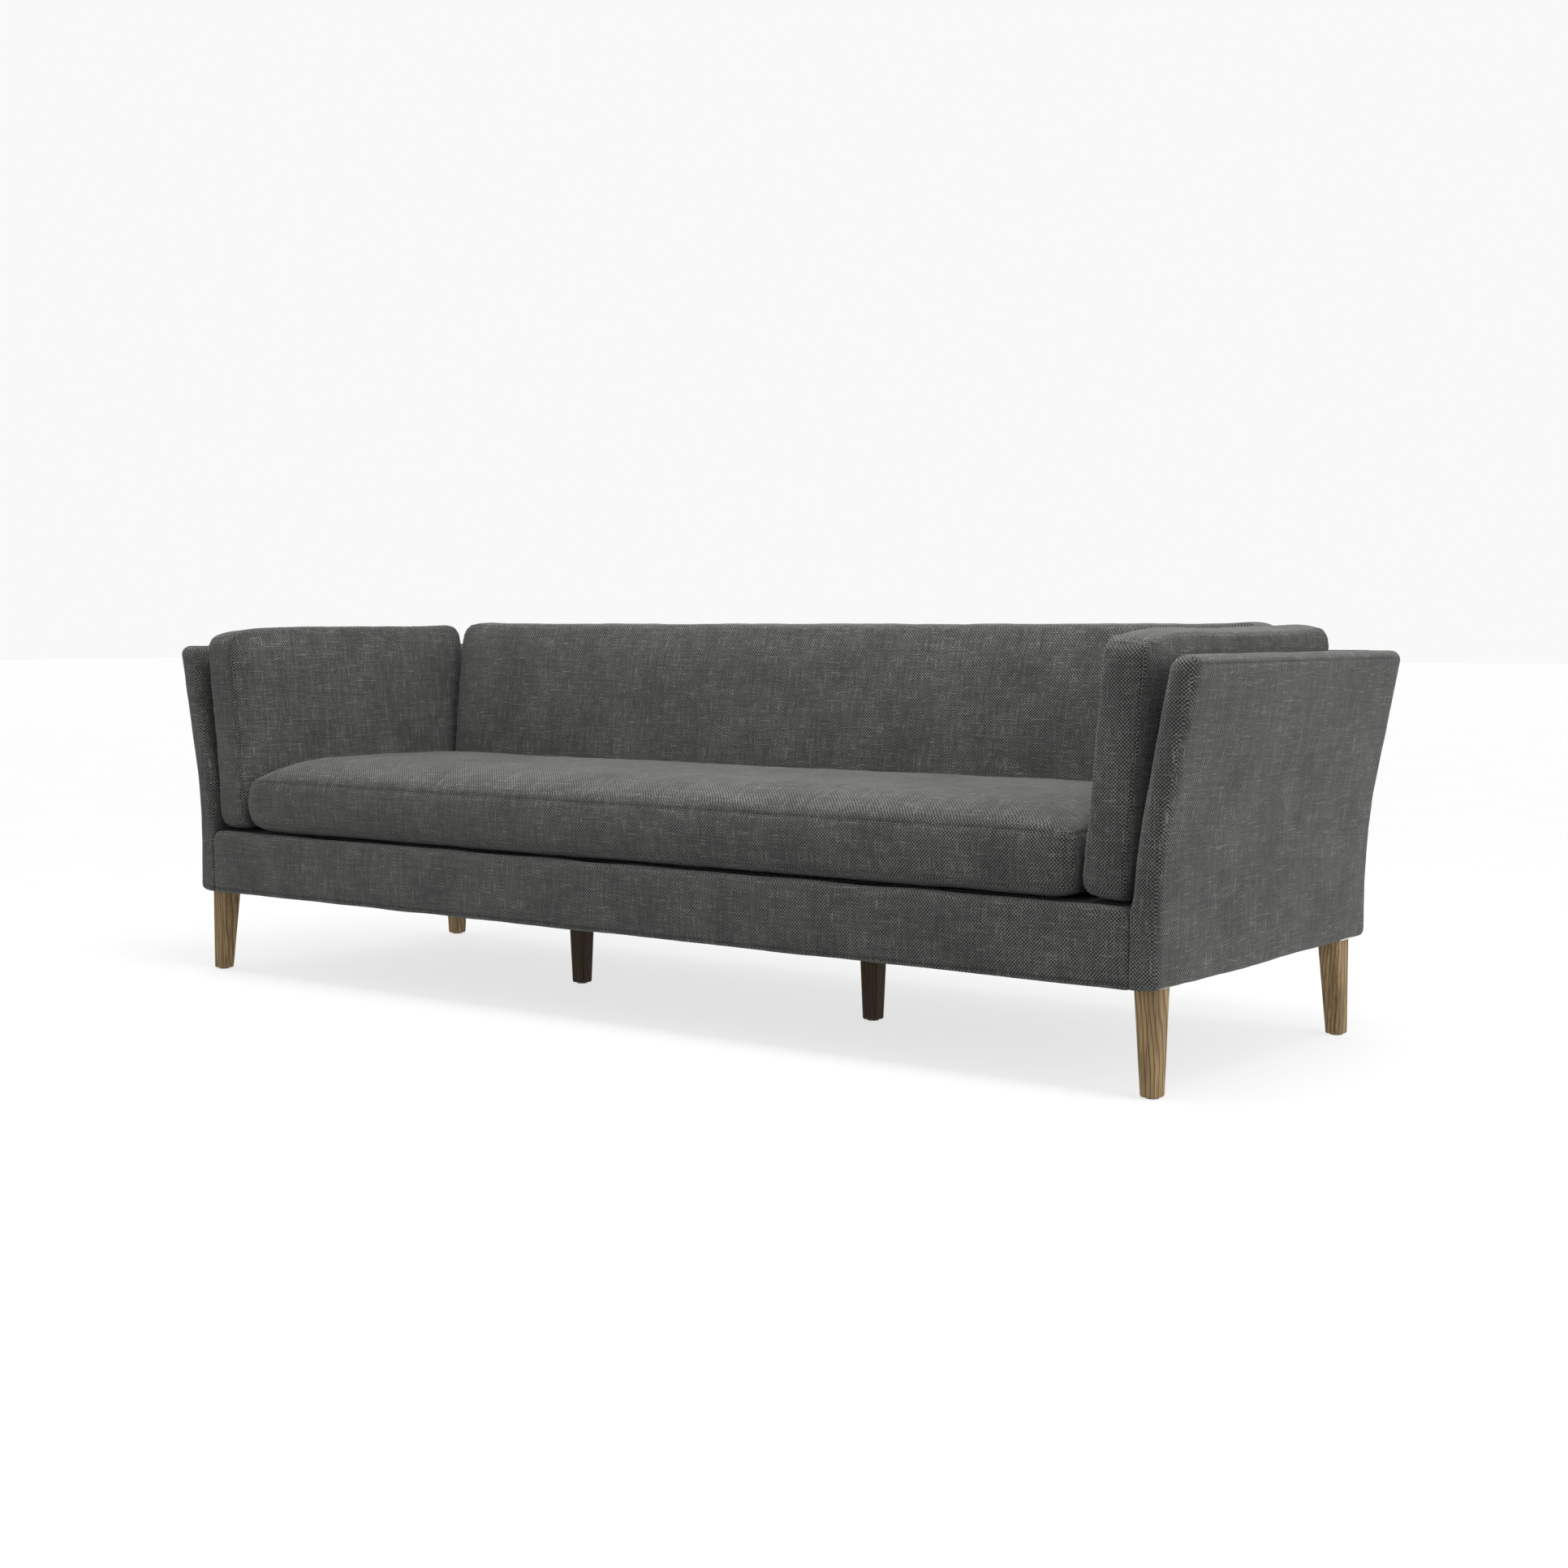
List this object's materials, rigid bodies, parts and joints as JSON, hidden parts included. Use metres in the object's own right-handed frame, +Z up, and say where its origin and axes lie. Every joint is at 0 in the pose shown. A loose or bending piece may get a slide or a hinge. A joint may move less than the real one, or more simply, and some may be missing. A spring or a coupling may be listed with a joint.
{
  "type": "sofa with wooden legs",
  "caption": "Long upholstered sofa with flared padded arms, one bench seat cushion, loose back and side cushions, and square tapered wooden legs.",
  "frame": {"origin": "on the floor, under the centre of the overall box", "axes": "+X along the sofa to the right as seen from the front, -Y is the front, +Z up"},
  "size_m": [2.4676, 0.83, 0.762],
  "materials": {
    "upholstery_fabric": "woven two-tone charcoal basket weave with linen slubs",
    "foam": "open-cell polyurethane foam",
    "felt": "grey needled felt",
    "lining_cloth": "black spunbond cloth",
    "webbing": "woven elastic webbing",
    "zip": "moulded coil zip on woven tape",
    "zinc_steel": "zinc plated",
    "glide_plastic": "moulded nylon",
    "oak": "weathered grey-brown oak, matt oil",
    "dark_oak": "dark stained oak, matt oil",
    "frame_wood": "sawn hardwood"
  },
  "bodies": {
    "frame": {"arm_cover_left": "upholstery_fabric", "arm_cover_right": "upholstery_fabric", "arm_padding_left": "foam", "arm_padding_right": "foam", "arm_post_front_left": "frame_wood", "arm_post_front_right": "frame_wood", "arm_post_rear_left": "frame_wood", "arm_post_rear_right": "frame_wood", "arm_top_rail_left": "frame_wood", "arm_top_rail_right": "frame_wood", "back_cover": "upholstery_fabric", "back_padding": "foam", "back_top_rail": "frame_wood", "back_upright_left": "frame_wood", "back_upright_right": "frame_wood", "back_webbing": "webbing", "corner_block_front_left": "frame_wood", "corner_block_front_right": "frame_wood", "corner_block_rear_left": "frame_wood", "corner_block_rear_right": "frame_wood", "deck_cloth": "lining_cloth", "deck_padding": "foam", "dust_cover": "lining_cloth", "foot_glides": "glide_plastic", "frame_screws": "zinc_steel", "front_rail_cover": "upholstery_fabric", "front_rail_padding": "foam", "hanger_bolts": "zinc_steel", "leg_centre_left": "dark_oak", "leg_centre_right": "dark_oak", "leg_front_left": "oak", "leg_front_right": "oak", "leg_plates": "zinc_steel", "leg_rear_left": "oak", "leg_rear_right": "oak", "plate_screws": "zinc_steel", "seat_insulator": "felt", "seat_rail_front": "frame_wood", "seat_rail_left": "frame_wood", "seat_rail_rear": "frame_wood", "seat_rail_right": "frame_wood", "seat_webbing_cross": "webbing", "seat_webbing_long": "webbing", "stretcher_left": "frame_wood", "stretcher_right": "frame_wood"},
    "seat_cushion": {"seat_cushion_cover": "upholstery_fabric", "seat_cushion_foam": "foam", "seat_cushion_zip": "zip"},
    "back_cushion": {"back_cushion_cover": "upholstery_fabric", "back_cushion_foam": "foam", "back_cushion_zip": "zip"},
    "side_cushion_left": {"side_cushion_cover_left": "upholstery_fabric", "side_cushion_foam_left": "foam", "side_cushion_zip_left": "zip"},
    "side_cushion_right": {"side_cushion_cover_right": "upholstery_fabric", "side_cushion_foam_right": "foam", "side_cushion_zip_right": "zip"}
  },
  "joints": [
    {"name": "seat_cushion_lift", "type": "slide", "parent": "frame", "child": "seat_cushion", "axis": [0, 0, 1], "range_m": [0, 0.5]},
    {"name": "back_cushion_lift", "type": "slide", "parent": "frame", "child": "back_cushion", "axis": [0, 0, 1], "range_m": [0, 0.5]},
    {"name": "side_cushion_left_lift", "type": "slide", "parent": "frame", "child": "side_cushion_left", "axis": [-0.0924, 0, 0.9957], "range_m": [0, 0.5]},
    {"name": "side_cushion_right_lift", "type": "slide", "parent": "frame", "child": "side_cushion_right", "axis": [0.0924, 0, 0.9957], "range_m": [0, 0.5]}
  ]
}
